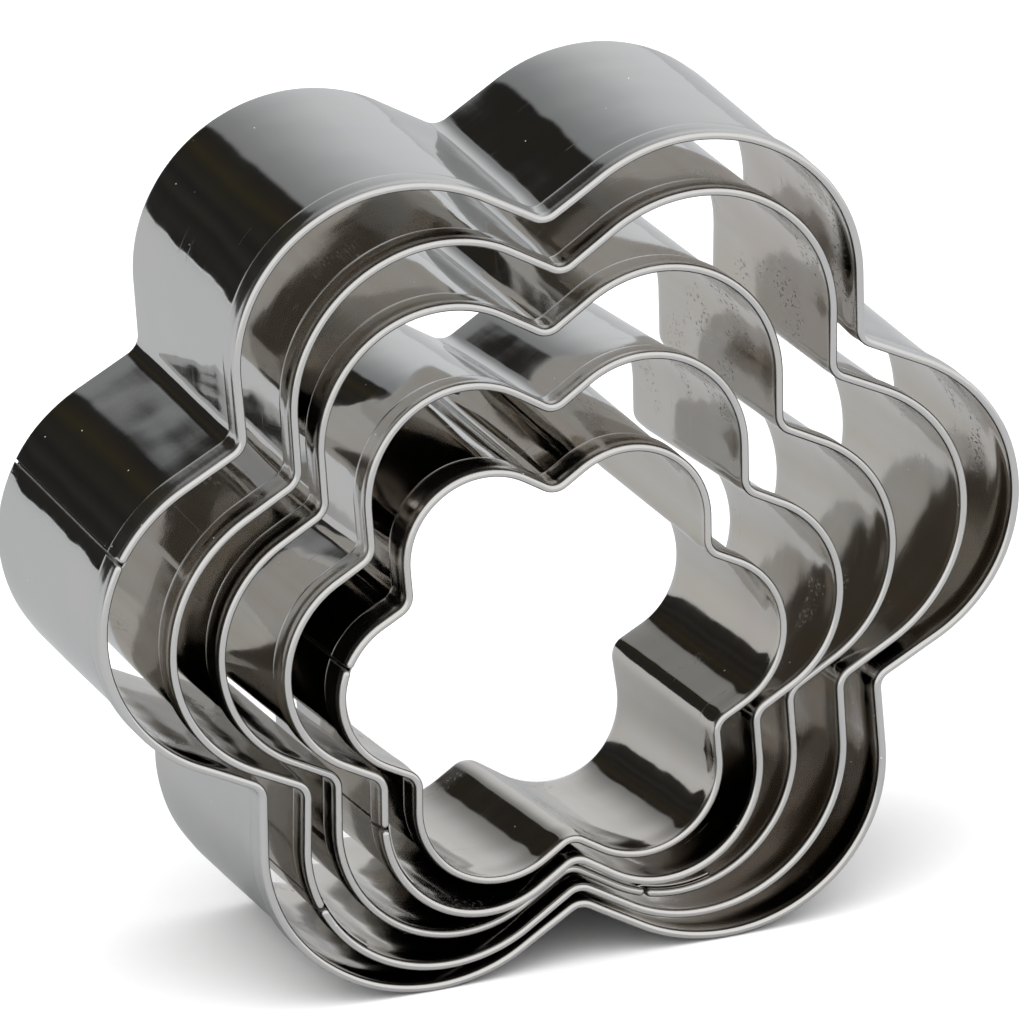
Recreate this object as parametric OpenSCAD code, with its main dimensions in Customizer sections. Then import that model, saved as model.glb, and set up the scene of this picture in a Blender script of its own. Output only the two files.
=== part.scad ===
// Nested set of five six-petal flower cookie cutters, standing on edge.
// Each cutter is one strip of thin stainless sheet, bent round the flower with the plain
// cutting edge at the back. The front edge is turned over to the outside as a rounded hem,
// and the two ends of the strip lap each other and are spot welded.

/* [Sizes of the set] */
// Width of the largest flower, across two opposite petals
across_largest = 90; // [80:1:110]
// Width of the smallest flower, across two opposite petals
across_smallest = 46; // [40:1:50]
// Height of every cutter, from its cutting edge to the top of its hem
depth = 31; // [20:1:45]

/* [Flower outline] */
// Radius of a petal as a share of half the width of its flower
petal_share = 0.36; // [0.34:0.005:0.37]
// Opening angle of the V between two petals, in degrees
valley_angle = 104; // [100:1:110]
// Bend radius at the bottom of that V, to the middle of the hem
valley_bend_r = 1.8; // [1.2:0.1:2]
// How far each almost straight flank of a petal still turns, in degrees
flank_turn = 3; // [2:0.5:6]

/* [Strip] */
// Thickness of the sheet
sheet = 0.35; // [0.3:0.05:0.5]
// Width of the hem that is turned over along the front edge
hem_w = 3.5; // [2.5:0.1:5]
// Space left between the two layers of the hem
hem_gap = 0.1; // [0.05:0.05:0.2]

/* [Seam] */
// Length of the tongue that laps inside the other end of the strip
lap_l = 7; // [5:0.5:9]
// Gap where the two ends of the hem meet
butt_gap = 0.3; // [0.2:0.05:0.5]
// Length of the crank that steps the tongue inwards by one sheet
crank_l = 1.2; // [0.8:0.1:1.5]

/* [Nesting] */
// Least clearance where a cutter rests in the next larger one
nest_gap = 0.2; // [0.1:0.05:0.5]

/* [Hidden] */
$fn = 96;
NODES = ["cutter_largest", "cutter_large", "cutter_middle", "cutter_small", "cutter_smallest"];
// Overrun of every cut past the surface it opens
over = 1;
// Petals of one flower, and the angle from one to the next
petals = 6;
petal_step = 360 / petals;
// Thickness of the hem: the wall, the space inside the fold and the turned-over layer
bead = 2 * sheet + hem_gap;
// Direction, from a petal's axis, that the outline faces where a flank runs into a bend
flank_a = 180 - petal_step - valley_angle / 2;
// A petal's arc reaches this far to each side of the petal's axis, and then the flank begins
arc_half = flank_a - flank_turn;
// How far the strip turns in the bend between two petals
bend_turn = 180 - valley_angle;
// Positions that have to be exact are split at this step
short_step = 0.001;
// Sines, from the line through a bend, of the directions where petal, flank and bend begin
bend_rise = sin(petal_step / 2);
arc_rise = sin(arc_half - petal_step / 2);
flank_rise = sin(flank_a - petal_step / 2);
// How deep the tongue lies in the wall that it is spot welded to
weld_sink = sheet / 2;
// Where each cutter's hem ends meet: petal, degrees from that petal's axis, and the side that the
// tongue runs to, 1 for counter-clockwise as seen from the front and -1 for clockwise
SEAMS = [[3, -29, -1], [4, -35, 1], [5, -46, 1], [4, -59, 1], [3, -25, 1]];

// The outline is measured to the middle of the hem. i is 0 for the largest cutter.
function across(i) = across_largest - (across_largest - across_smallest) * i / (len(NODES) - 1);
function tip_r(i) = across(i) / 2 - bead / 2;
function petal_r(i) = round(petal_share * tip_r(i) / short_step) * short_step;
// Radius of a flank, to a short number. It takes up the length between the petal and the bend.
function flank_r(i) = round(free_flank_r(i) / short_step) * short_step;
function free_flank_r(i) =
    ((tip_r(i) - petal_r(i)) * bend_rise - petal_r(i) * arc_rise - valley_bend_r * flank_rise)
    / (flank_rise - arc_rise);
// Distance of the petal's centre from the flower's, with which petal, flank and bend run smoothly
// into each other
function petal_c(i) =
    ((petal_r(i) - flank_r(i)) * arc_rise + (flank_r(i) + valley_bend_r) * flank_rise) / bend_rise;
// Distance of a bend's centre from the flower's
function bend_c(i) =
    petal_c(i) * cos(petal_step / 2)
    + (petal_r(i) - flank_r(i)) * cos(arc_half - petal_step / 2)
    + (flank_r(i) + valley_bend_r) * cos(flank_a - petal_step / 2);
// Distance from the flower's centre to the tangent at the end of a flank
function flank_off(i) =
    petal_c(i) * cos(flank_a) + (petal_r(i) - flank_r(i)) * cos(flank_turn) + flank_r(i);
function dir(a) = [cos(a), sin(a)];
// A cutter slides down until its two lower flanks rest on those of the next larger one
function rest_step(i) = (flank_off(i - 1) - flank_off(i) - bead - nest_gap) / sin(flank_a);
function drop(i) = i == 0 ? 0 : drop(i - 1) + rest_step(i);
// Height of the largest flower's centre above the surface that its two lower petals stand on
centre_h = petal_c(0) * sin(petal_step) + petal_r(0) + bead / 2;

// Cross-section of the strip: x is outwards from the middle of the hem, y is up to the hem
module strip_profile() {
    fold_y = depth - bead / 2;
    translate([-bead / 2, 0])
        square([sheet, fold_y]);
    translate([bead / 2 - sheet, depth - hem_w])
        square([sheet, hem_w - bead / 2]);
    translate([0, fold_y])
        difference() {
            circle(d = bead);
            circle(d = hem_gap);
            translate([-bead, -bead])
                square([2 * bead, bead]);
        }
}

// Sweeps its child, a profile, along an arc of the outline. The centre is given in two steps, a
// short number and then the small rest, so that arcs which continue each other meet exactly even
// when positions are written out with a limited number of digits.
module arc_run(centre, r, start, angle) {
    rough = [for (v = centre) round(v / short_step) * short_step];
    translate([rough.x, rough.y, 0])
        translate([centre.x - rough.x, centre.y - rough.y, 0])
            rotate_extrude(angle = angle, start = start)
                translate([r, 0])
                    children();
}

// The whole strip without its seam, lying flat with the cutting edge down: round every petal, an
// almost straight flank on each side of it, and the tight bend that leads into the next petal
module closed_strip(i)
    for (k = [0 : petals - 1]) {
        petal_a = k * petal_step;
        petal_at = petal_c(i) * dir(petal_a);
        arc_run(petal_at, petal_r(i), petal_a - arc_half, 2 * arc_half)
            strip_profile();
        for (side = [-1, 1])
            arc_run(
                petal_at - (flank_r(i) - petal_r(i)) * dir(petal_a + side * arc_half),
                flank_r(i),
                petal_a + (side > 0 ? arc_half : -flank_a),
                flank_turn
            )
                strip_profile();
        // On a bend the outside of the flower is the inside of the curve
        bend_a = petal_a + petal_step / 2;
        arc_run(bend_c(i) * dir(bend_a), valley_bend_r, bend_a + 90 + valley_angle / 2, bend_turn)
            mirror([1, 0])
                strip_profile();
    }

// Puts its children at the centre of the petal with the seam, +x through the gap between the
// hem ends and the tongue running counter-clockwise
module at_seam(i) {
    seam = SEAMS[i];
    rotate([0, 0, seam[0] * petal_step])
        translate([petal_c(i), 0, 0])
            rotate([0, 0, seam[1]])
                mirror([0, seam[2] < 0 ? 1 : 0, 0])
                    children();
}

// The tongue inside the wall, and the crank that brings the strip in to it
module tongue(i) {
    wall_r = petal_r(i) - bead / 2;
    tongue_h = depth - bead;
    lap_a = lap_l / wall_r * 180 / PI;
    crank_a = -crank_l / wall_r * 180 / PI;
    rotate_extrude(angle = lap_a)
        translate([wall_r - sheet, 0])
            square([sheet + weld_sink, tongue_h]);
    linear_extrude(tongue_h)
        polygon([
            [wall_r - sheet, 0],
            [wall_r + weld_sink, 0],
            (wall_r + weld_sink) * [cos(crank_a), sin(crank_a)],
            wall_r * [cos(crank_a), sin(crank_a)]
        ]);
}

// The gap between the two ends of the hem, right through the strip
module butt_cut(i)
    translate([petal_r(i) - bead / 2 - over, -butt_gap / 2, -over])
        cube([bead + 2 * over, butt_gap, depth + 2 * over]);

// One finished cutter, standing as it rests in the set
module cutter(i)
    translate([0, depth / 2, centre_h - drop(i)])
        rotate([90, 0, 0]) {
            difference() {
                closed_strip(i);
                at_seam(i)
                    butt_cut(i);
            }
            at_seam(i)
                tongue(i);
        }

// Outermost cutter, which stands on its two lower petals
module cutter_largest()
    color("silver")
        cutter(0);

// Second cutter, resting in the largest
module cutter_large()
    color("silver")
        cutter(1);

// Third cutter, resting in the second
module cutter_middle()
    color("silver")
        cutter(2);

// Fourth cutter, resting in the third
module cutter_small()
    color("silver")
        cutter(3);

// Innermost cutter, resting in the fourth
module cutter_smallest()
    color("silver")
        cutter(4);

cutter_largest();
cutter_large();
cutter_middle();
cutter_small();
cutter_smallest();
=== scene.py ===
# %% [markdown]
# # Five nested flower cutters in polished steel
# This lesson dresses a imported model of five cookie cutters, which stand on edge one inside the
# other. Each cutter is a single strip of thin stainless sheet. It is bent round a flower with six
# petals, its front edge is turned over into a rounded hem, and its two ends lap at a seam.
# The model of the shapes, the frame, is loaded first. Everything made here sits in that frame.

# %% Load the frame
import math
import bpy
import bmesh
from mathutils import Matrix, Vector


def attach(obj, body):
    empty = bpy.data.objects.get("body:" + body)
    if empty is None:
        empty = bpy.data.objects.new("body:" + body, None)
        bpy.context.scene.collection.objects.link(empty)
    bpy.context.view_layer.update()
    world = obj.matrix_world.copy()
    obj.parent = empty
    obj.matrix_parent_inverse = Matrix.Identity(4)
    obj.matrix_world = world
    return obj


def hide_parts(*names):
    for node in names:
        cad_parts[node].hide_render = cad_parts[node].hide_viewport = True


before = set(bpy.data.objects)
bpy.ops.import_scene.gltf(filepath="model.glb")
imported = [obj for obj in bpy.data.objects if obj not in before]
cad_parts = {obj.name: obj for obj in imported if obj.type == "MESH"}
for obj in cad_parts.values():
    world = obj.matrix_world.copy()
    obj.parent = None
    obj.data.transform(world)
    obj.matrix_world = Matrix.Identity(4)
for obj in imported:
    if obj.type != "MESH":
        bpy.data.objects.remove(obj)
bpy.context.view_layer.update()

MM = 0.001

# %% [markdown]
# ## The camera
# A picture of such small things is taken from far away through a long lens, so the strips run
# back almost in parallel. The camera could be aimed with a constraint, but its three axes are
# known, and written as the columns of a matrix they place it exactly.

# %% Camera
SENSOR = 36.0
LENS = 734.06
EYE = Vector((-606.53, -1752.42, 711.34)) * MM
LOOK = Vector((0.3078, 0.8886, -0.3401)).normalized()
UP = Vector((0.1642, 0.3025, 0.9389))
SIDE = LOOK.cross(UP).normalized()
RISE = SIDE.cross(LOOK)

lens = bpy.data.cameras.new("long_lens")
lens.sensor_width = SENSOR
lens.lens = LENS
lens.clip_end = 100.0
camera = bpy.data.objects.new("camera", lens)
axes = Matrix((SIDE, RISE, -LOOK)).transposed()
camera.matrix_world = Matrix.Translation(EYE) @ axes.to_4x4()
bpy.context.scene.collection.objects.link(camera)
bpy.context.scene.camera = camera
print("camera", round(EYE.length, 2), "m from the cutters")

# %% [markdown]
# ## Small helpers for nodes
# Every finish and every strip below is a node tree, and a tree in a script is mostly the same two
# steps: make a node, feed its sockets. A helper keeps those to one line. It takes a socket to be
# linked or a plain value to be set, and returns the output that the next node needs.

# %% One helper for every node
def put(tree, kind, feed=(), out=0, **settings):
    """Adds a node, feeds its inputs and returns one of its outputs, or the node for None.

    Inputs and outputs go by number or by name.
    """
    made = tree.nodes.new(kind)
    for name, value in settings.items():
        setattr(made, name, value)
    wires = feed.items() if isinstance(feed, dict) else enumerate(feed)
    for key, value in wires:
        if isinstance(value, bpy.types.NodeSocket):
            tree.links.new(value, made.inputs[key])
        elif value is not None:
            made.inputs[key].default_value = value
    return made if out is None else made.outputs[out]


print("first helper ready")

# %% [markdown]
# Sums are the commonest nodes by far, so they get short names of their own. A formula in the tree
# then reads almost like a formula on paper.

# %% Sums
def calc(tree, operation, *values, clamp=False):
    return put(tree, "ShaderNodeMath", values, operation=operation, use_clamp=clamp)


def plus(tree, first, second):
    return calc(tree, "ADD", first, second)


def minus(tree, first, second, clamp=False):
    return calc(tree, "SUBTRACT", first, second, clamp=clamp)


def times(tree, first, second):
    return calc(tree, "MULTIPLY", first, second)


def over(tree, first, second, clamp=False):
    return calc(tree, "DIVIDE", first, second, clamp=clamp)


def times_plus(tree, value, factor, extra):
    """value * factor + extra"""
    return calc(tree, "MULTIPLY_ADD", value, factor, extra)


def fade(tree, value, low, high, to_low=0.0, to_high=1.0, smooth=True):
    """Maps low..high to to_low..to_high, with soft ends."""
    kind = "SMOOTHSTEP" if smooth else "LINEAR"
    feed = (value, low, high, to_low, to_high)
    return put(tree, "ShaderNodeMapRange", feed, interpolation_type=kind)


print("helpers for sums ready")

# %% [markdown]
# Places and directions are vectors, which have sums of their own. Noise and the mixing of colours
# are here too, because both the strips and the finishes need short ways to write them.

# %% Vectors, noise and colours
def vcalc(tree, operation, *values, out=0):
    return put(tree, "ShaderNodeVectorMath", values, out=out, operation=operation)


def scaled(tree, vector, by):
    """A vector times three factors, one for each axis."""
    return vcalc(tree, "MULTIPLY", vector, by)


def lengthened(tree, vector, factor):
    """A vector times one factor, which may be a socket."""
    feed = {"Vector": vector, "Scale": factor}
    return put(tree, "ShaderNodeVectorMath", feed, operation="SCALE")


def point(tree, x, y, z):
    return put(tree, "ShaderNodeCombineXYZ", (x, y, z))


def parts(tree, vector):
    """The X, Y and Z of a vector."""
    return put(tree, "ShaderNodeSeparateXYZ", (vector,), out=None).outputs


def noise(tree, vector, scale, detail):
    feed = {"Vector": vector, "Scale": scale, "Detail": detail}
    return put(tree, "ShaderNodeTexNoise", feed)


def blend(tree, share, first, second):
    """Goes from the first colour to the second as the share goes from 0 to 1."""
    # by number, because a Mix node has sockets of one name for numbers and for colours
    feed = {0: share, 6: first, 7: second}
    return put(tree, "ShaderNodeMix", feed, out=2, data_type="RGBA")


print("helpers for vectors and colours ready")

# %% [markdown]
# ## The outline of a flower
# Every cutter has the same outline at its own size: a round petal, an almost straight flank and a
# tight bend into the next petal. It could be drawn point by point, but a star whose corners are
# rounded is exactly this shape. Only the radii of the star's corners have to be worked out, from
# the petal's radius and from where the straight flanks cross each other.

# %% Sizes that the cutters share
CUTTERS = 5
ACROSS_LARGEST = 90 * MM
ACROSS_SMALLEST = 46 * MM
DEPTH = 31 * MM
SHEET = 0.35 * MM
BEAD = 0.8 * MM
HEM = 3.5 * MM
VALLEY_R = 1.8 * MM
PETAL_SHARE = 0.36
PETALS = 6
STEP = 2 * math.pi / PETALS
FLANK = math.radians(68)
FLANK_TURN = math.radians(3)
LAP = 7 * MM
CRANK = 1.2 * MM
BUTT = 0.3 * MM
NEST_GAP = 0.2 * MM
ends = round(ACROSS_SMALLEST / MM), round(ACROSS_LARGEST / MM)
print(CUTTERS, "cutters,", ends[0], "to", ends[1], "mm across")

# %% [markdown]
# In the model of the shapes a flank is a very large arc, and here it is taken as straight. The
# angle at which a straight line touches both the petal and the bend has no short formula, so it is
# found by halving the span that it must lie in, again and again.

# %% The star behind each flower
HALVINGS = 60


class Flower:
    """The outline of cutter i, measured to the middle of its hem. 0 is the largest."""

    def __init__(self, i):
        across = ACROSS_LARGEST - (ACROSS_LARGEST - ACROSS_SMALLEST) * i / (CUTTERS - 1)
        tip = across / 2 - BEAD / 2
        petal = PETAL_SHARE * tip
        half = STEP / 2
        arc = FLANK - FLANK_TURN
        arc_rise, flank_rise = math.sin(arc - half), math.sin(FLANK - half)
        flank = (tip - petal) * math.sin(half) - petal * arc_rise - VALLEY_R * flank_rise
        flank = flank / (flank_rise - arc_rise)
        reach = (petal - flank) * arc_rise + (flank + VALLEY_R) * flank_rise
        reach = reach / math.sin(half)
        bend = (reach * math.cos(half) + (petal - flank) * math.cos(arc - half)
                + (flank + VALLEY_R) * math.cos(FLANK - half))
        # the straight line that touches the petal's circle and, on its other side, the bend's
        low, high = arc - FLANK_TURN, FLANK + FLANK_TURN
        for _ in range(HALVINGS):
            face = (low + high) / 2
            gap = bend * math.cos(face - half) - reach * math.cos(face) - petal - VALLEY_R
            low, high = (face, high) if gap > 0 else (low, face)
        straight = abs(bend * math.sin(face - half) - reach * math.sin(face))
        self.petal, self.reach, self.face = petal, reach, face
        self.rest = reach * math.cos(FLANK) + (petal - flank) * math.cos(FLANK_TURN) + flank
        self.round = 2 * face * petal + 2 * straight + (2 * face - STEP) * VALLEY_R
        self.outer = reach + petal / math.cos(face)
        self.inner = (reach * math.cos(face) + petal) / math.cos(face - half)


flowers = [Flower(i) for i in range(CUTTERS)]
flowers[0].middle = flowers[0].reach * math.sin(STEP) + flowers[0].petal + BEAD / 2
for small, large in zip(flowers[1:], flowers):
    room = large.rest - small.rest - BEAD - NEST_GAP
    small.middle = large.middle - room / math.sin(FLANK)
for one in flowers:
    corners = round(one.outer / MM, 2), round(one.inner / MM, 2)
    print("star corners at", corners[0], "and", corners[1], "mm")

# %% [markdown]
# ## The strip as a node tree
# A strip follows a path, so Geometry Nodes sweep it: one profile runs along the outline, from one
# end of the sheet to the other. The profile is drawn as the sheet's own middle line, up the wall,
# round the fold and back down, and is then given the sheet's thickness. That way the hem is one
# folded sheet, as on the real cutter, with a slit inside it, and not a bar stuck on top.

# %% Outline inside the tree
PETAL_STEPS = 140
BEND_STEPS = 40


def either(tree, when, yes, no):
    feed = {"Switch": when, "False": no, "True": yes}
    return put(tree, "GeometryNodeSwitch", feed, input_type="FLOAT")


def flower_outline(tree, sizes):
    """A star with rounded corners."""
    feed = {"Points": PETALS, "Inner Radius": sizes["Inner corner"],
            "Outer Radius": sizes["Outer corner"]}
    star = put(tree, "GeometryNodeCurveStar", feed, out=None).outputs
    on_petal = star["Outer Points"]
    radius = either(tree, on_petal, sizes["Petal radius"], sizes["Bend radius"])
    feed = {"Switch": on_petal, "False": BEND_STEPS, "True": PETAL_STEPS}
    count = put(tree, "GeometryNodeSwitch", feed, input_type="INT")
    feed = {"Curve": star["Curve"], "Radius": radius}
    fillet = put(tree, "GeometryNodeFilletCurve", feed, out=None, mode="POLY")
    tree.links.new(count, fillet.inputs["Count"])
    return fillet.outputs["Curve"]


print("a petal has", PETAL_STEPS, "steps and a bend", BEND_STEPS)

# %% [markdown]
# The path of a sweep is a line of its own that is laid along the outline. Each of its points keeps
# three facts for later: which way is outwards, how far along the strip it lies, and how far it is
# from an end. Near the strip's ends the points are set closer, so that the ends can be rounded.

# %% The path of a sweep
END_STEPS = 6


def keep(tree, shape, name, value, kind="FLOAT"):
    """Stores a fact at every point, under a name that later nodes and the finish can read."""
    feed = {"Geometry": shape, "Name": name}
    store = put(tree, "GeometryNodeStoreNamedAttribute", feed, out=None, data_type=kind,
                domain="POINT")
    tree.links.new(value, store.inputs["Value"])
    return store.outputs[0]


def way_along(tree, whole, count, fine):
    """How far along each point lies, with close steps over the length fine at both ends."""
    k = put(tree, "GeometryNodeInputIndex")
    last = count - 1
    middle = minus(tree, whole, 2 * fine)
    way = plus(tree, fade(tree, k, 0, END_STEPS, 0.0, fine, smooth=False),
               fade(tree, k, END_STEPS, last - END_STEPS, 0.0, middle, smooth=False))
    return plus(tree, way, fade(tree, k, last - END_STEPS, last, 0.0, fine, smooth=False))


def run_along(tree, outline, begin, end, inwards, count, fine=0.0):
    """An open path on the outline from begin to end, shifted inwards by inwards(share)."""
    line = put(tree, "GeometryNodeCurvePrimitiveLine", {"Start": (0, 0, 0), "End": (1, 0, 0)})
    feed = {"Curve": line, "Count": count}
    line = put(tree, "GeometryNodeResampleCurve", feed, mode="COUNT")
    share = put(tree, "GeometryNodeSplineParameter")
    whole = minus(tree, end, begin)
    way = way_along(tree, whole, count, fine) if fine else times(tree, share, whole)
    to_end = calc(tree, "MINIMUM", way, minus(tree, whole, way))
    way = plus(tree, begin, way)
    length = put(tree, "GeometryNodeCurveLength", (outline,))
    feed = {"Curves": outline, "Length": calc(tree, "MODULO", plus(tree, way, length), length)}
    spot = put(tree, "GeometryNodeSampleCurve", feed, out=None, mode="LENGTH").outputs
    outward = vcalc(tree, "CROSS_PRODUCT", spot["Tangent"], (0, 0, 1))
    shift = lengthened(tree, outward, inwards(share))
    line = keep(tree, line, "outward", outward, "FLOAT_VECTOR")
    line = keep(tree, line, "along", way)
    line = keep(tree, line, "to_end", to_end)
    feed = {"Geometry": line, "Position": vcalc(tree, "SUBTRACT", spot["Position"], shift)}
    path = put(tree, "GeometryNodeSetPosition", feed)
    return put(tree, "GeometryNodeSetCurveNormal", (path,), mode="Z_UP")


print("path helpers ready")

# %% [markdown]
# The profile could be drawn as a closed outline, but every corner of it would then depend on the
# sheet's thickness. It is easier to draw where the sheet runs and to let the tree go out along one
# side of that line and back along the other. Towards its two ends the profile narrows, because a
# cut edge is never quite sharp.

# %% The thickness of the sheet
NARROWED = 0.85


def count_of(tree, curve):
    size = put(tree, "GeometryNodeAttributeDomainSize", (curve,), out=None, component="CURVE")
    return size.outputs["Point Count"]


def thickened(tree, middle_line, thickness, ease):
    """A closed profile: out along one side of a line and back along the other, ends eased."""
    points = count_of(tree, middle_line)
    doubled = times(tree, points, 2.0)
    feed = {"Resolution": doubled, "Radius": 1.0}
    loop = put(tree, "GeometryNodeCurvePrimitiveCircle", feed)
    index = put(tree, "GeometryNodeInputIndex")
    feed = {"A": index, "B": minus(tree, points, 0.5)}
    back = put(tree, "FunctionNodeCompare", feed, operation="GREATER_THAN", data_type="FLOAT")
    here = either(tree, back, minus(tree, minus(tree, doubled, 1.0), index), index)

    def taken(value, kind):
        """A value of the middle line's point that this point of the profile stands beside."""
        feed = {"Geometry": middle_line}
        node = put(tree, "GeometryNodeSampleIndex", feed, out=None, data_type=kind, domain="POINT")
        tree.links.new(value, node.inputs["Value"])
        tree.links.new(here, node.inputs["Index"])
        return node.outputs["Value"]

    total = put(tree, "GeometryNodeCurveLength", (middle_line,))
    run = taken(put(tree, "GeometryNodeSplineParameter", out="Length"), "FLOAT")
    to_end = calc(tree, "MINIMUM", run, minus(tree, total, run))
    close = minus(tree, 1.0, over(tree, to_end, ease, clamp=True))
    plump = minus(tree, 1.0, times(tree, close, times(tree, close, NARROWED)))
    half = times(tree, either(tree, back, -0.5, 0.5), calc(tree, "SQRT", plump))
    tangent = taken(put(tree, "GeometryNodeInputTangent"), "FLOAT_VECTOR")
    across = vcalc(tree, "CROSS_PRODUCT", tangent, (0, 0, 1))
    start = taken(put(tree, "GeometryNodeInputPosition"), "FLOAT_VECTOR")
    push = lengthened(tree, across, times(tree, half, thickness))
    feed = {"Geometry": loop, "Position": vcalc(tree, "ADD", start, push)}
    return put(tree, "GeometryNodeSetPosition", feed)


print("profile helpers ready")

# %% [markdown]
# ## Small faults of shape
# A real strip is not as true as its drawing. It is a little wavy from being bent by hand, its wall
# dips where the hem was pressed against it, the hem is pinched just under the bead, and the cut
# ends of the bead are rounded over. These could be modelled one by one, but each is only a push
# along the direction that the strip faces, so one step adds them up and moves the points once.

# %% Waves, dip, neck and rounded ends
WAVES_PER_M = (105.0, 105.0, 38.0)
# from the hem's raw edge: how far behind it the dip begins, and how far before it the dip is
# deepest and ends
DIP_SPAN = (3.6 * MM, 0.4 * MM, 2.0 * MM)
# below the top: where the neck under the bead begins, is full, begins to fade and ends
NECK_SPAN = (2.0 * MM, 1.25 * MM, 1.15 * MM, 0.75 * MM)
NECK = 0.055 * MM
# below the top: where the rounding of the bead's ends begins and is full
END_SPAN = (1.3 * MM, 0.75 * MM)
ROUNDED_END = 0.4 * MM
END_DROP = 0.34 * MM
END_SQUEEZE = 0.6


def worn_in(tree, shape, sizes):
    def fact(name, kind="FLOAT"):
        return put(tree, "GeometryNodeInputNamedAttribute", {"Name": name}, data_type=kind)

    def below_top(distance):
        return minus(tree, sizes["Height"], distance)

    def between(start, full, falling, end):
        """1 from full to falling, fading to 0 at start and at end."""
        rising = fade(tree, height, start, full)
        return times(tree, rising, fade(tree, height, falling, end, 1.0, 0.0))

    height, offset, outward = fact("height"), fact("offset"), fact("outward", "FLOAT_VECTOR")
    place = put(tree, "GeometryNodeInputPosition")
    place = vcalc(tree, "ADD", place, point(tree, 0.0, 0.0, sizes["Seed"]))
    waves = noise(tree, scaled(tree, place, WAVES_PER_M), 1.0, 1.0)
    wave = times(tree, minus(tree, waves, 0.5), times(tree, sizes["Wave"], 2.0))

    on_wall = calc(tree, "LESS_THAN", offset, 0.0)
    raw = minus(tree, sizes["Height"], sizes["Hem"])
    behind, deepest, before = DIP_SPAN
    deepest = plus(tree, raw, deepest)
    dented = between(minus(tree, raw, behind), deepest, deepest, plus(tree, raw, before))
    dip = times(tree, dented, times(tree, on_wall, sizes["Dip"]))

    on_hem = calc(tree, "GREATER_THAN", offset, 0.0)
    under_bead = between(*(below_top(distance) for distance in NECK_SPAN))
    neck = times(tree, times(tree, under_bead, on_hem), NECK)

    close = minus(tree, 1.0, over(tree, fact("to_end"), ROUNDED_END, clamp=True))
    flat = calc(tree, "SQRT", minus(tree, 1.0, times(tree, close, close)))
    on_bead = fade(tree, height, *(below_top(distance) for distance in END_SPAN))
    turned = times(tree, minus(tree, 1.0, flat), on_bead)
    squeeze = times(tree, times(tree, offset, turned), END_SQUEEZE)

    push = minus(tree, minus(tree, wave, dip), plus(tree, neck, squeeze))
    drop = point(tree, 0.0, 0.0, times(tree, turned, -END_DROP))
    move = vcalc(tree, "ADD", lengthened(tree, outward, push), drop)
    return put(tree, "GeometryNodeSetPosition", {"Geometry": shape, "Offset": move})


print("neck", round(NECK / MM, 3), "mm deep")

# %% [markdown]
# A strip also springs a little out of round when it is let go, and the plain edge at its back more
# so than the stiff hem. Bending the outline itself would need a new one at every depth. The whole
# strip is stretched instead, by amounts that grow from the hem to the back edge.

# %% Sprung out of round
def sprung(tree, shape, sizes):
    at = parts(tree, put(tree, "GeometryNodeInputPosition"))
    back = minus(tree, 1.0, over(tree, at["Z"], sizes["Height"]))

    def amount(at_hem, more_behind):
        return times_plus(tree, back, sizes[more_behind], sizes[at_hem])

    wide = times_plus(tree, at["X"], amount("Stretch X", "Back stretch X"),
                      amount("Shift X", "Back shift X"))
    wide = times_plus(tree, at["Y"], amount("Lean", "Back lean X"), wide)
    tall = times_plus(tree, at["Y"], amount("Stretch Z", "Back stretch Z"),
                      amount("Shift Z", "Back shift Z"))
    tall = times_plus(tree, at["X"], amount("Lean", "Back lean Z"), tall)
    deep = minus(tree, at["Z"], sizes["Push back"])
    feed = {"Geometry": shape, "Position": point(tree, wide, tall, deep)}
    return put(tree, "GeometryNodeSetPosition", feed)


print("faults of shape ready")

# %% [markdown]
# ## The two sweeps
# The hemmed strip runs from one end of the hem right round to the other. Its profile is a line with
# four corners whose upper two are rounded into the fold. The points up the wall lie closer together
# towards the hem, where the wall is least true.

# %% The hemmed strip
STRIP_STEPS = 860
FINE = 0.4 * MM
FOLD_STEPS = 6
WALL_CUTS = 22
HEM_CUTS = 8
# a hair short of half the top's length, so that the two rounded corners stay apart
FOLD_SHARE = 0.999
CLOSER = 1.6


def swept(tree, path, profile):
    at = parts(tree, put(tree, "GeometryNodeInputPosition"))
    profile = keep(tree, profile, "offset", at["X"])
    profile = keep(tree, profile, "height", times(tree, at["Y"], -1.0))
    feed = {"Curve": path, "Profile Curve": profile, "Fill Caps": True}
    return put(tree, "GeometryNodeCurveToMesh", feed)


def folded_line(tree, sizes, wall):
    """The middle line of the folded sheet, from the plain edge to the hem's raw edge."""
    inner = times(tree, wall, -1.0)
    top = minus(tree, times(tree, sizes["Sheet"], 0.5), sizes["Height"])
    raw = minus(tree, sizes["Hem"], sizes["Height"])
    feed = {"Point 1": point(tree, inner, 0.0, 0.0), "Point 2": point(tree, inner, top, 0.0),
            "Point 3": point(tree, wall, top, 0.0), "Point 4": point(tree, wall, raw, 0.0)}
    line = put(tree, "GeometryNodeCurvePrimitiveQuadrilateral", feed, mode="POINTS")
    line = put(tree, "GeometryNodeSetSplineCyclic", {"Geometry": line, "Cyclic": False})
    feed = {"Curve": line, "Count": FOLD_STEPS, "Radius": times(tree, wall, FOLD_SHARE)}
    line = put(tree, "GeometryNodeFilletCurve", feed, mode="POLY")
    # the wall starts at the first point, and the turned-over layer at the last but one
    index = put(tree, "GeometryNodeInputIndex")
    on_wall = calc(tree, "LESS_THAN", index, 0.5)
    on_hem = calc(tree, "COMPARE", index, minus(tree, count_of(tree, line), 2.0), 0.1)
    cuts = times_plus(tree, on_wall, WALL_CUTS, times(tree, on_hem, HEM_CUTS))
    return put(tree, "GeometryNodeSubdivideCurve", {"Curve": line, "Cuts": cuts})


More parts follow.
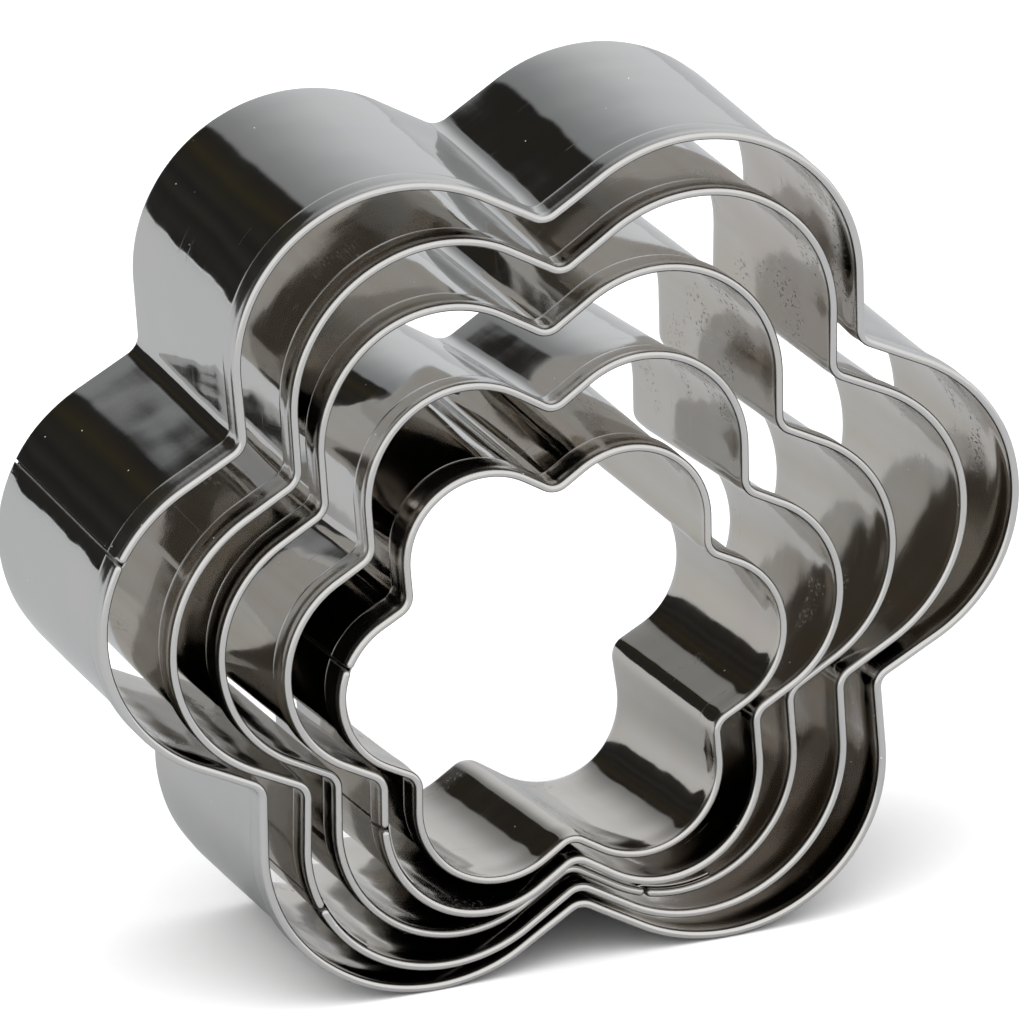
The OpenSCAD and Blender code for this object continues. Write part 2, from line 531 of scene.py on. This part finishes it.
def closer_to_hem(tree, line, sizes):
    """Moves the points of the wall, but not those of the fold, towards the hem."""
    at = parts(tree, put(tree, "GeometryNodeInputPosition"))
    rise = minus(tree, sizes["Height"], times(tree, sizes["Bead"], 0.5))
    share = over(tree, times(tree, at["Y"], -1.0), rise)
    inside = times(tree, calc(tree, "LESS_THAN", at["X"], 0.0),
                   calc(tree, "LESS_THAN", share, 0.9999))
    left = calc(tree, "POWER", minus(tree, 1.0, share, clamp=True), CLOSER)
    y = times(tree, times(tree, minus(tree, 1.0, left), rise), -1.0)
    feed = {"Geometry": line, "Selection": inside, "Position": point(tree, at["X"], y, 0.0)}
    return put(tree, "GeometryNodeSetPosition", feed)


def hemmed_strip(tree, sizes, outline, seam, wall, ease):
    length = put(tree, "GeometryNodeCurveLength", (outline,))
    half_gap = times(tree, sizes["Butt gap"], 0.5)
    begin = plus(tree, seam, half_gap)
    end = minus(tree, plus(tree, seam, length), half_gap)
    path = run_along(tree, outline, begin, end, lambda share: 0.0, STRIP_STEPS, FINE)
    line = closer_to_hem(tree, folded_line(tree, sizes, wall), sizes)
    return swept(tree, path, thickened(tree, line, sizes["Sheet"], ease))


print("the strip has", STRIP_STEPS, "steps round the flower")

# %% [markdown]
# The bare tongue runs on under the seam. It is stepped inwards by one sheet along a short crank. It
# is always drawn counter-clockwise, so where it points the other way its crank comes last.

# %% The tongue
TONGUE_STEPS = 60


def tongue(tree, sizes, outline, seam, wall, ease):
    counter_clockwise = calc(tree, "GREATER_THAN", sizes["Tongue side"], 0.0)
    both = plus(tree, sizes["Lap"], sizes["Crank"])
    before_seam = either(tree, counter_clockwise, sizes["Crank"], sizes["Lap"])
    begin = minus(tree, seam, before_seam)

    def stepped_in(share):
        from_seam = either(tree, counter_clockwise, share, minus(tree, 1.0, share))
        crank = over(tree, sizes["Crank"], both)
        return times(tree, fade(tree, from_seam, 0.0, crank), sizes["Sheet"])

    end = plus(tree, begin, both)
    path = run_along(tree, outline, begin, end, stepped_in, TONGUE_STEPS)
    inner = times(tree, wall, -1.0)
    top = minus(tree, sizes["Bead"], sizes["Height"])
    feed = {"Start": point(tree, inner, 0.0, 0.0), "End": point(tree, inner, top, 0.0)}
    line = put(tree, "GeometryNodeCurvePrimitiveLine", feed)
    line = put(tree, "GeometryNodeSubdivideCurve", {"Curve": line, "Cuts": WALL_CUTS})
    return swept(tree, path, thickened(tree, line, sizes["Sheet"], ease))


print("the tongue has", TONGUE_STEPS, "steps")

# %% [markdown]
# The tree joins the two sweeps, adds the faults, and stands the strip up. Lying flat, all its sums
# are about a plan and a height, which is simpler than working in the standing pose. Every size is
# an input with a name, so one tree serves all five cutters.

# %% The strip's tree
SIZES = ("Inner corner", "Outer corner", "Bend radius", "Petal radius", "Seam", "Tongue side",
         "Butt gap", "Height", "Sheet", "Bead", "Hem", "Lap", "Crank", "Middle height", "Wave",
         "Seed", "Dip", "Stretch X", "Stretch Z", "Lean", "Shift X", "Shift Z",
         "Back stretch X", "Back lean X", "Back lean Z", "Back stretch Z", "Back shift X",
         "Back shift Z", "Push back")
CUT_EASE = 0.25


def strip_tree(steel):
    tree = bpy.data.node_groups.new("hemmed_strip", "GeometryNodeTree")
    tree.interface.new_socket("Geometry", in_out="OUTPUT", socket_type="NodeSocketGeometry")
    for name in SIZES:
        tree.interface.new_socket(name, in_out="INPUT", socket_type="NodeSocketFloat")
    sizes = tree.nodes.new("NodeGroupInput").outputs
    outline = flower_outline(tree, sizes)
    seam = times(tree, sizes["Seam"], put(tree, "GeometryNodeCurveLength", (outline,)))
    wall = minus(tree, times(tree, sizes["Bead"], 0.5), times(tree, sizes["Sheet"], 0.5))
    ease = times(tree, sizes["Sheet"], CUT_EASE)
    joined = put(tree, "GeometryNodeJoinGeometry", out=None)
    for sweep in (hemmed_strip, tongue):
        tree.links.new(sweep(tree, sizes, outline, seam, wall, ease), joined.inputs[0])
    shape = sprung(tree, worn_in(tree, joined.outputs[0], sizes), sizes)

    stand = point(tree, 0.0, times(tree, sizes["Height"], 0.5), sizes["Middle height"])
    feed = {"Geometry": shape, "Translation": stand, "Rotation": (math.radians(90), 0, 0)}
    stood = put(tree, "GeometryNodeTransform", feed)
    solid = put(tree, "GeometryNodeRealizeInstances", (stood,))
    dressed = put(tree, "GeometryNodeSetMaterial", {"Geometry": solid, "Material": steel})
    tree.links.new(dressed, tree.nodes.new("NodeGroupOutput").inputs[0])
    return tree


print("the strip's tree has", len(SIZES), "named sizes")

# %% [markdown]
# ## Polished steel
# The sheet is stainless steel that was rolled bright and then bent, so it mirrors its surroundings
# almost sharply. A plain mirror would look like a drawing. What makes it metal is small: soft
# bands from bending across the strip, hair lines from rolling along it, a faint orange peel, dull
# spots of oil on some inner faces, a few specks of dust, and edges made bright by wear. Some colour
# is painted light: a painted highlight on the bead and along the hem's raw edge, painted shade just
# behind that edge, and inner faces painted warmer and darker.
# The facts stored on the points (how far along, how high, inside or outside) put each of these in
# its place, which a texture laid over the whole object could not.

# %% Places on the strip
steel = bpy.data.materials.new("polished_steel")
steel.use_nodes = True
t = steel.node_tree
metal = t.nodes["Principled BSDF"]


def fact(name):
    """A fact stored on the points, as a plain number, which is the node's output 2."""
    return put(t, "ShaderNodeAttribute", out=2, attribute_name=name)


RAW_EDGE = DEPTH - HEM
# where each place fades in or out: across the sheet for the inner face, up the strip for the rest
INNER_SPAN = (-0.36 * MM, -0.30 * MM)
HEM_SPAN = (RAW_EDGE - 0.1 * MM, RAW_EDGE + 0.2 * MM)
BEAD_SPAN = (DEPTH - 1.1 * MM, DEPTH - 0.7 * MM)
along, height, offset, to_end = fact("along"), fact("height"), fact("offset"), fact("to_end")
strip_at = point(t, along, height, offset)
place = put(t, "ShaderNodeTexCoord", out="Object")
inner = fade(t, offset, *INNER_SPAN, 1.0, 0.0)
outer_layer = calc(t, "GREATER_THAN", offset, 0.0)
hem = times(t, fade(t, height, *HEM_SPAN), outer_layer)
bead = fade(t, height, *BEAD_SPAN)
print("raw edge of the hem at", round(RAW_EDGE / MM, 1), "mm")

# %% [markdown]
# Each pattern is noise that is stretched its own way. Along the strip, up the strip and through the
# sheet have their own scales, so the same kind of node gives bands, rolling lines and scratches.

# %% Rolling lines, bands and scratches
# waves per metre: one number where they are the same every way, or else along, up and through
CLOUDS = 85.0
ROLLED = (30.0, 2600.0, 400.0)
BANDS = (300.0, 9.0, 200.0)
PEEL = 1500.0
HAIR_LINES = (60.0, 3200.0, 0.0)
SCRATCHED_PLACES = 260.0

clouds = noise(t, place, CLOUDS, 3.0)
rolled = noise(t, scaled(t, strip_at, ROLLED), 1.0, 3.0)
bands = noise(t, scaled(t, strip_at, BANDS), 1.0, 2.0)
peel = noise(t, place, PEEL, 1.0)
lines = noise(t, scaled(t, strip_at, HAIR_LINES), 1.0, 1.0)
some_places = fade(t, noise(t, place, SCRATCHED_PLACES, 1.0), 0.5, 0.62)
scratch = times(t, fade(t, lines, 0.70, 0.78), some_places)
print("patterns of the sheet ready")

# %% [markdown]
# The oil lies in patches on the inner faces, most of them high on the right, and each patch is a
# crowd of small dull drops. The dust is one speck inside a cell, and only some of the cells hold
# one. Both could be scattered as little pieces, but nothing this flat needs a shape.

# %% Oil and dust
OIL_PATCHES = 120.0
OIL_DROPS = 2700.0
DROP_STRETCH = (1.0, 0.5, 1.0)
# the corner with more oil: over these spans it comes in, to the right and upwards
OILY_TO_RIGHT = (0.0, 14 * MM)
OILY_UPWARDS = (42 * MM, 52 * MM)
MORE_IN_CORNER, LESS_ELSEWHERE = 0.14, -0.06
DUST_CELLS = 420.0
# as shares of a cell: how far a speck is full, and how far it reaches
SPECK_SPAN = (0.018, 0.036)
CELLS_WITHOUT_DUST = 0.62

at = parts(t, place)
corner = times(t, fade(t, at["X"], *OILY_TO_RIGHT), fade(t, at["Z"], *OILY_UPWARDS))
patch = plus(t, noise(t, place, OIL_PATCHES, 2.0),
             times_plus(t, corner, MORE_IN_CORNER, LESS_ELSEWHERE))
patch = times(t, fade(t, patch, 0.56, 0.68), inner)
drops = noise(t, scaled(t, place, DROP_STRETCH), OIL_DROPS, 1.0)
spots = times(t, fade(t, drops, 0.57, 0.66), patch)

feed = {"Vector": place, "Scale": DUST_CELLS}
cell = put(t, "ShaderNodeTexVoronoi", feed, out=None, feature="F1").outputs
chance = put(t, "ShaderNodeSeparateColor", (cell["Color"],), out="Red")
speck = times(t, fade(t, cell["Distance"], *SPECK_SPAN, 1.0, 0.0),
              calc(t, "GREATER_THAN", chance, CELLS_WITHOUT_DUST))
print("oil and dust ready")

# %% [markdown]
# Handling rubs the steel where it stands out: the plain back edge and the ends of the strip. Along
# the hem's raw edge a thin lighter line is a painted highlight, and just behind it, where the hem
# steps down to the wall, a darker band is painted shade.

# %% Wear, painted highlight and painted shade
# from each edge: how far the lighter colour is full, and how far it reaches; at the hem's raw edge
# it is a painted highlight
BACK_RUB = (0.12 * MM, 0.4 * MM)
RAW_HIGHLIGHT_SPAN = (0.06 * MM, 0.16 * MM)
END_RUB = (0.03 * MM, 0.14 * MM)
# painted shade: the darker band on the wall starts here behind the hem's raw edge and ends just
# past it
HEM_SHADE_FROM = RAW_EDGE - 1.1 * MM
HEM_SHADE_TO = RAW_EDGE + 0.05 * MM

back_edge = fade(t, height, *BACK_RUB, 1.0, 0.0)
from_raw = calc(t, "ABSOLUTE", minus(t, height, RAW_EDGE))
# painted highlight: a thin lighter line along the hem's raw edge
raw_edge_highlight = times(t, fade(t, from_raw, *RAW_HIGHLIGHT_SPAN, 1.0, 0.0), outer_layer)
end_edge = fade(t, to_end, *END_RUB, 1.0, 0.0)
# wear on the back edge and the strip's ends, together with the painted highlight on the raw edge
rubbed_and_highlight = calc(t, "MAXIMUM", calc(t, "MAXIMUM", back_edge, raw_edge_highlight), end_edge)

# painted shade: a darker band on the outer wall just behind the hem's raw edge
behind = times(t, fade(t, height, HEM_SHADE_FROM, RAW_EDGE),
               fade(t, height, RAW_EDGE, HEM_SHADE_TO, 1.0, 0.0))
painted_hem_shade = times(t, times(t, behind, minus(t, 1.0, inner)), fade(t, bands, 0.35, 0.65, 0.1, 0.9))
print("wear ready")

# %% [markdown]
# The colour of a metal is the colour of what it mirrors, times its own. The inner faces are painted
# warmer and darker, in bands and patches, as painted shade for the warm light thrown between walls.
# Seen edge on, the steel is kept a little below a perfect mirror.

# %% Colour
STEEL_PLAIN = (0.625, 0.608, 0.585, 1)
STEEL_COOL = (0.600, 0.592, 0.580, 1)
# painted shade: the next two tones darken and warm the inner faces for light thrown between the
# walls
STEEL_WARM_SHADE = (0.553, 0.505, 0.440, 1)
STEEL_RED_SHADE = (0.540, 0.478, 0.428, 1)
# colour of the oil drops, and also of the painted shade just behind the hem's raw edge
STEEL_OIL_AND_SHADE = (0.450, 0.430, 0.405, 1)
# lighter colour for wear on the back edge and the ends, and for the painted highlight on the raw
# edge and the bead
STEEL_RUBBED_AND_HIGHLIGHT = (0.740, 0.725, 0.700, 1)
DUST = (0.93, 0.93, 0.9, 1)
EDGE_ON = (0.85, 0.85, 0.85, 1)

colour = blend(t, fade(t, clouds, 0.35, 0.7), STEEL_COOL, STEEL_PLAIN)
# painted shade: the inner faces made warmer and darker, in bands
colour = blend(t, times(t, inner, fade(t, bands, 0.3, 0.7, 0.45, 1.0)), colour, STEEL_WARM_SHADE)
# painted shade in red patches on the inner faces
painted_red_shade = times(t, fade(t, noise(t, place, 38.0, 2.0), 0.48, 0.66), times(t, inner, 0.8))
colour = blend(t, painted_red_shade, colour, STEEL_RED_SHADE)
# painted shade just behind the hem's raw edge
colour = blend(t, times(t, painted_hem_shade, 0.6), colour, STEEL_OIL_AND_SHADE)
colour = blend(t, times(t, spots, 0.6), colour, STEEL_OIL_AND_SHADE)
# the bead's lighter share is a painted highlight
worn_and_highlight = calc(t, "MAXIMUM", times(t, rubbed_and_highlight, 0.8), times(t, bead, 0.3))
colour = blend(t, worn_and_highlight, colour, STEEL_RUBBED_AND_HIGHLIGHT)
t.links.new(blend(t, speck, colour, DUST), metal.inputs["Base Color"])
t.links.new(minus(t, 1.0, times(t, speck, 0.8)), metal.inputs["Metallic"])
metal.inputs["Specular Tint"].default_value = EDGE_ON
print("colours ready")

# %% [markdown]
# Gloss differs more than colour does. The wall mirrors almost sharply, the hem less so, because the
# fold has stretched its skin, and oil and scratches are dull. Most of the relief is around a
# hundredth of a millimetre deep or less. Its broadest part, a tenth of a millimetre over a
# centimetre, bends the mirrored edges a little, as dents do.

# %% Gloss and relief
MORE_ROUGH = ((inner, 0.025), (hem, 0.09), (bead, 0.11), (scratch, 0.22), (spots, 0.24),
              (patch, 0.05), (rubbed_and_highlight, 0.15), (speck, 0.6))
rough = fade(t, clouds, 0.35, 0.75, 0.045, 0.085)
rough = times_plus(t, fade(t, rolled, 0.45, 0.75), 0.035, rough)
for mask, more in MORE_ROUGH:
    rough = times_plus(t, mask, more, rough)
t.links.new(rough, metal.inputs["Roughness"])

marks = minus(t, 1.0, calc(t, "MAXIMUM", scratch, spots))
ripples = noise(t, scaled(t, strip_at, (900.0, 420.0, 900.0)), 1.0, 2.0)
ripples = times(t, ripples, calc(t, "MAXIMUM", hem, bead))
RELIEF_IN_M = ((bands, 9.0e-6), (noise(t, place, 95.0, 1.0), 110.0e-6),
               (noise(t, place, 190.0, 1.0), 30.0e-6), (rolled, 0.5e-6), (peel, 0.7e-6),
               (marks, 1.6e-6), (ripples, 12.0e-6))
normal = None
for relief, tallest in RELIEF_IN_M:
    feed = {"Strength": 1.0, "Distance": tallest, "Height": relief, "Normal": normal}
    normal = put(t, "ShaderNodeBump", feed)
t.links.new(normal, metal.inputs["Normal"])
print("steel nodes:", len(t.nodes))

# %% [markdown]
# ## Five cutters
# Each cutter gets the same tree with its own sizes. The seams sit where the hem's ends meet on the
# real ones, never in the same place on a neighbour. How far each one has sprung out of round was
# fitted by laying its outline over its picture: stretch and lean are shares, shifts are in mm. The
# second row of each holds what the back edge adds to them. The model of the shapes keeps true
# flowers. Only this dressing is sprung, by about a millimetre at a rim. All five are let down
# together, so that the largest one, now out of round, stands on the floor again.

# %% Where the seams are and how each cutter is sprung
NAMES = ("cutter_largest", "cutter_large", "cutter_middle", "cutter_small", "cutter_smallest")
# petal, degrees from its axis, and the side that the tongue runs to: 1 is counter-clockwise
SEAMS = ((3, -29, -1), (4, -35, 1), (5, -46, 1), (4, -59, 1), (3, -25, 1))
DIPS = (0.11, 0.03, 0.03, 0.03, 0.08)
WAVES = (0.07, 0.05, 0.05, 0.05, 0.07)
SETTLED = 0.71 * MM
FRONT = ("Stretch X", "Stretch Z", "Lean", "Shift X", "Shift Z")
BACK = ("Back stretch X", "Back lean X", "Back lean Z", "Back stretch Z", "Back shift X",
        "Back shift Z", "Push back")
IN_MM = ("Shift X", "Shift Z", "Back shift X", "Back shift Z", "Push back")
SPRUNG = (
    ((1.0237, 0.9752, 0.0025, 0.153, -0.249),
     (-0.0005, 0.0126, -0.0096, 0.0080, -0.067, 0.125, 0.561)),
    ((1.0148, 0.9993, 0.0284, 0.939, 0.399),
     (0.0024, 0.0033, -0.0454, 0.0276, -0.361, 0.001, 0.735)),
    ((1.0015, 1.0124, 0.0134, -0.043, 0.644),
     (0.0257, -0.0114, -0.0583, 0.0384, -0.753, -0.423, 1.606)),
    ((0.9847, 1.0201, 0.0049, -0.215, 0.420),
     (0.0201, -0.0063, -0.0313, -0.0223, 0.076, -2.037, -0.046)),
    ((0.9800, 0.9806, 0.0068, -0.235, -0.310),
     (0.0869, -0.0837, -0.0806, 0.1413, -1.126, -0.149, 0.685)),
)


def seam_share(flower, petal, degrees):
    """How far round the outline, from the start of the first petal, the seam lies: 0 to 1."""
    return (petal + (math.radians(degrees) + flower.face) * flower.petal / flower.round) / PETALS


def sizes_of(i):
    one = flowers[i]
    petal, degrees, side = SEAMS[i]
    values = {"Inner corner": one.inner, "Outer corner": one.outer, "Bend radius": VALLEY_R,
              "Petal radius": one.petal, "Seam": seam_share(one, petal, degrees),
              "Tongue side": float(side), "Butt gap": BUTT, "Height": DEPTH, "Sheet": SHEET,
              "Bead": BEAD, "Hem": HEM, "Lap": LAP, "Crank": CRANK,
              "Middle height": one.middle - SETTLED, "Wave": WAVES[i] * MM, "Seed": 0.1 * i,
              "Dip": DIPS[i] * MM}
    for name, value in zip(FRONT + BACK, SPRUNG[i][0] + SPRUNG[i][1]):
        values[name] = value * MM if name in IN_MM else value
    return values


for i, name in enumerate(NAMES):
    print(name, "has its seam at", round(100 * sizes_of(i)["Seam"], 1), "% of the way round")

# %% [markdown]
# The tree is worked out on an empty holder, and what comes out is kept as a plain mesh. A live
# modifier would also do, but a plain mesh can be measured, and its faces can be checked: every
# edge has two faces, and all of them look outwards.

# %% From tree to mesh
SHARP_FROM = math.radians(40)


def made_by(tree, values):
    holder = bpy.data.objects.new("holder", bpy.data.meshes.new("empty"))
    bpy.context.scene.collection.objects.link(holder)
    modifier = holder.modifiers.new("strip", "NODES")
    modifier.node_group = tree
    for item in tree.interface.items_tree:
        if item.in_out == "INPUT":
            modifier[item.identifier] = values[item.name]
    depsgraph = bpy.context.evaluated_depsgraph_get()
    mesh = bpy.data.meshes.new_from_object(holder.evaluated_get(depsgraph), depsgraph=depsgraph)
    holder.modifiers.clear()
    bpy.data.objects.remove(holder)
    return mesh


def faced_outwards(mesh):
    shape = bmesh.new()
    shape.from_mesh(mesh)
    bmesh.ops.recalc_face_normals(shape, faces=shape.faces)
    open_edges = sum(1 for edge in shape.edges if not edge.is_manifold)
    volume = round(shape.calc_volume() / MM**3)
    print("  ", len(mesh.polygons), "faces,", open_edges, "open edges,", volume, "mm3")
    shape.to_mesh(mesh)
    shape.free()
    mesh.shade_smooth()
    mesh.set_sharp_from_angle(angle=SHARP_FROM)


print("ready to make strips")

# %% [markdown]
# Each finished strip rides on its own cutter of the frame and takes the place of that cutter's
# plain shape.

# %% Make the five strips
tree = strip_tree(steel)
for i, name in enumerate(NAMES):
    print(name)
    mesh = made_by(tree, sizes_of(i))
    faced_outwards(mesh)
    mesh.name = name.replace("cutter", "strip")
    piece = bpy.data.objects.new(mesh.name, mesh)
    bpy.context.scene.collection.objects.link(piece)
    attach(piece, name)
    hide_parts(name)

# %% [markdown]
# ## Floor
# The cutters stand on a sweep of white paper. The camera sees it almost pure white, but the steel
# beside it mirrors a pale grey, because the paper behind and under the cutters is lit less than
# the part that is pictured. Two papers would leave a join in the mirrored picture, so one paper
# asks whether it is seen directly or in the steel.

# %% Paper
PAPER_WHITE = (0.945, 0.945, 0.945, 1)
PAPER_FIBRE = (0.925, 0.925, 0.925, 1)
PAPER_MIRRORED = (0.430, 0.440, 0.450, 1)
FLOOR_REACH = 8.0

paper = bpy.data.materials.new("pale_paper")
paper.use_nodes = True
t = paper.node_tree
matte = t.nodes["Principled BSDF"]
matte.inputs["Roughness"].default_value = 1.0
matte.inputs["Specular IOR Level"].default_value = 0.0
directly = put(t, "ShaderNodeLightPath", out="Is Camera Ray")
fibre = noise(t, put(t, "ShaderNodeTexCoord", out="Object"), 900.0, 2.0)
white = blend(t, fibre, PAPER_FIBRE, PAPER_WHITE)
t.links.new(blend(t, directly, PAPER_MIRRORED, white), matte.inputs["Base Color"])

floor_mesh = bpy.data.meshes.new("floor")
corners = [(x * FLOOR_REACH, y * FLOOR_REACH, 0) for x, y in ((-1, -1), (1, -1), (1, 1), (-1, 1))]
floor_mesh.from_pydata(corners, [], [(0, 1, 2, 3)])
floor_mesh.materials.append(paper)
floor = bpy.data.objects.new("floor", floor_mesh)
bpy.context.scene.collection.objects.link(floor)
print("floor", floor.dimensions[:2])

# %% [markdown]
# ## Studio
# Polished steel shows the studio more than itself. Seen from the front, every wall of these
# cutters mirrors a ring of the studio around the flowers' axis, so the studio is written as that
# ring: bright on the right, fading as it rises, and dark from overhead down to the left, where
# only faint streaks show. A picture of a real studio could be wrapped around instead, but a ramp
# says where each edge in the mirrored picture lies and is easy to shift. What is turned to the
# front, such as the rounded hem, mirrors an even light in front of the cutters instead.

# %% The ring
# degrees from the right over the top to the left, and how bright it is there
RING = ((0, 0.86), (15, 0.87), (27, 0.845), (40, 0.80), (53, 0.70), (66, 0.575), (79, 0.445),
        (92, 0.34), (102.5, 0.29))
DARK = ((105, (0.022, 0.021, 0.019)), (112, (0.027, 0.024, 0.019)), (120, (0.037, 0.032, 0.019)),
        (127, (0.026, 0.024, 0.019)), (136, (0.031, 0.028, 0.023)), (143, (0.020, 0.020, 0.019)),
        (152, (0.034, 0.032, 0.028)), (158, (0.021, 0.021, 0.020)), (169, (0.030, 0.029, 0.027)),
        (180, (0.020, 0.020, 0.019)))
HALF_ROUND = 180
COOL_TINT = (0.965, 1.0, 1.03)
FRONT_LIGHT = 1.06
# how far a direction leans back, where the front light begins to fade and where it is gone
FRONT_SPAN = (-0.2, 0.5)

world = bpy.data.worlds.new("studio")
bpy.context.scene.world = world
world.use_nodes = True
w = world.node_tree
w.nodes.clear()
ray = put(w, "ShaderNodeTexCoord", out="Generated")
toward = parts(w, ray)
angle = over(w, calc(w, "ARCTAN2", toward["Z"], toward["X"]), math.pi)
ring = put(w, "ShaderNodeValToRGB", (angle,), out=None)
ramp = ring.color_ramp
while len(ramp.elements) > 1:
    ramp.elements.remove(ramp.elements[-1])
stops = [(degrees, tuple(share * level for share in COOL_TINT)) for degrees, level in RING]
stops += DARK
ramp.elements[0].position = 0.0
ramp.elements[0].color = (*stops[0][1], 1)
for degrees, tone in stops[1:]:
    ramp.elements.new(degrees / HALF_ROUND).color = (*tone, 1)
front = fade(w, toward["Y"], *FRONT_SPAN, 1.0, 0.0)
mirrored = blend(w, front, ring.outputs["Color"], (FRONT_LIGHT, FRONT_LIGHT, FRONT_LIGHT, 1))
print("ring of", len(stops), "stops")

# %% [markdown]
# Deep between the walls, where light has been thrown to and fro several times, the darkness is
# filled a little. Matt things are lit by a sky instead that is brightest overhead, like a wide soft
# box, so the shadow on the paper is deep under the cutters and soon fades beside them. The camera
# itself sees a plain white background.

# %% Sky and background
DEEP = (0.24, 0.225, 0.20, 1)
# in throws of the light, and the share that is filled in at most
DEEP_FROM, DEEP_FULL, DEEP_MOST = 2.95, 4.5, 0.85
# the filling is kept to the dark part of the ring, from this share of the half circle on
DARK_FROM, DARK_FULL = 0.55, 0.60
SKY = 2.35
SKY_FROM = Vector((-0.13, -0.30, 0.94)).normalized()
SKY_LEAST = 0.40
BACKGROUND = (1.0, 1.0, 1.0, 1)

path = put(w, "ShaderNodeLightPath", out=None).outputs
thrown = fade(w, path["Ray Depth"], DEEP_FROM, DEEP_FULL, 0.0, DEEP_MOST, smooth=False)
mirrored = blend(w, times(w, thrown, fade(w, angle, DARK_FROM, DARK_FULL)), mirrored, DEEP)
up = calc(w, "MAXIMUM", vcalc(w, "DOT_PRODUCT", ray, tuple(SKY_FROM), out="Value"), 0.0)
level = times_plus(w, times(w, up, up), SKY, SKY_LEAST)
even = put(w, "ShaderNodeCombineColor", (level, level, level))
lit = blend(w, path["Is Glossy Ray"], even, mirrored)
shown = blend(w, path["Is Camera Ray"], lit, BACKGROUND)
studio = put(w, "ShaderNodeBackground", {"Color": shown, "Strength": 1.0})
w.links.new(studio, put(w, "ShaderNodeOutputWorld", out=None).inputs["Surface"])
print("world nodes:", len(w.nodes))

# %% [markdown]
# One broad lamp overhead, a little to the front and left, gives that soft shadow a direction. It
# is kept out of the mirrored picture, where the ring already stands for it.

# %% Lamp
LAMP_AT = (-0.6, -1.2, 3.2)
LAMP_SIDE = 3.0
LAMP_POWER = 22.0

lamp = bpy.data.lights.new("overhead", "AREA")
lamp.shape = "SQUARE"
lamp.size = LAMP_SIDE
lamp.energy = LAMP_POWER
above = bpy.data.objects.new("overhead", lamp)
above.location = LAMP_AT
above.visible_glossy = False
bpy.context.scene.collection.objects.link(above)
bpy.context.scene.view_settings.view_transform = "Standard"
print("lamp", lamp.energy, "W")
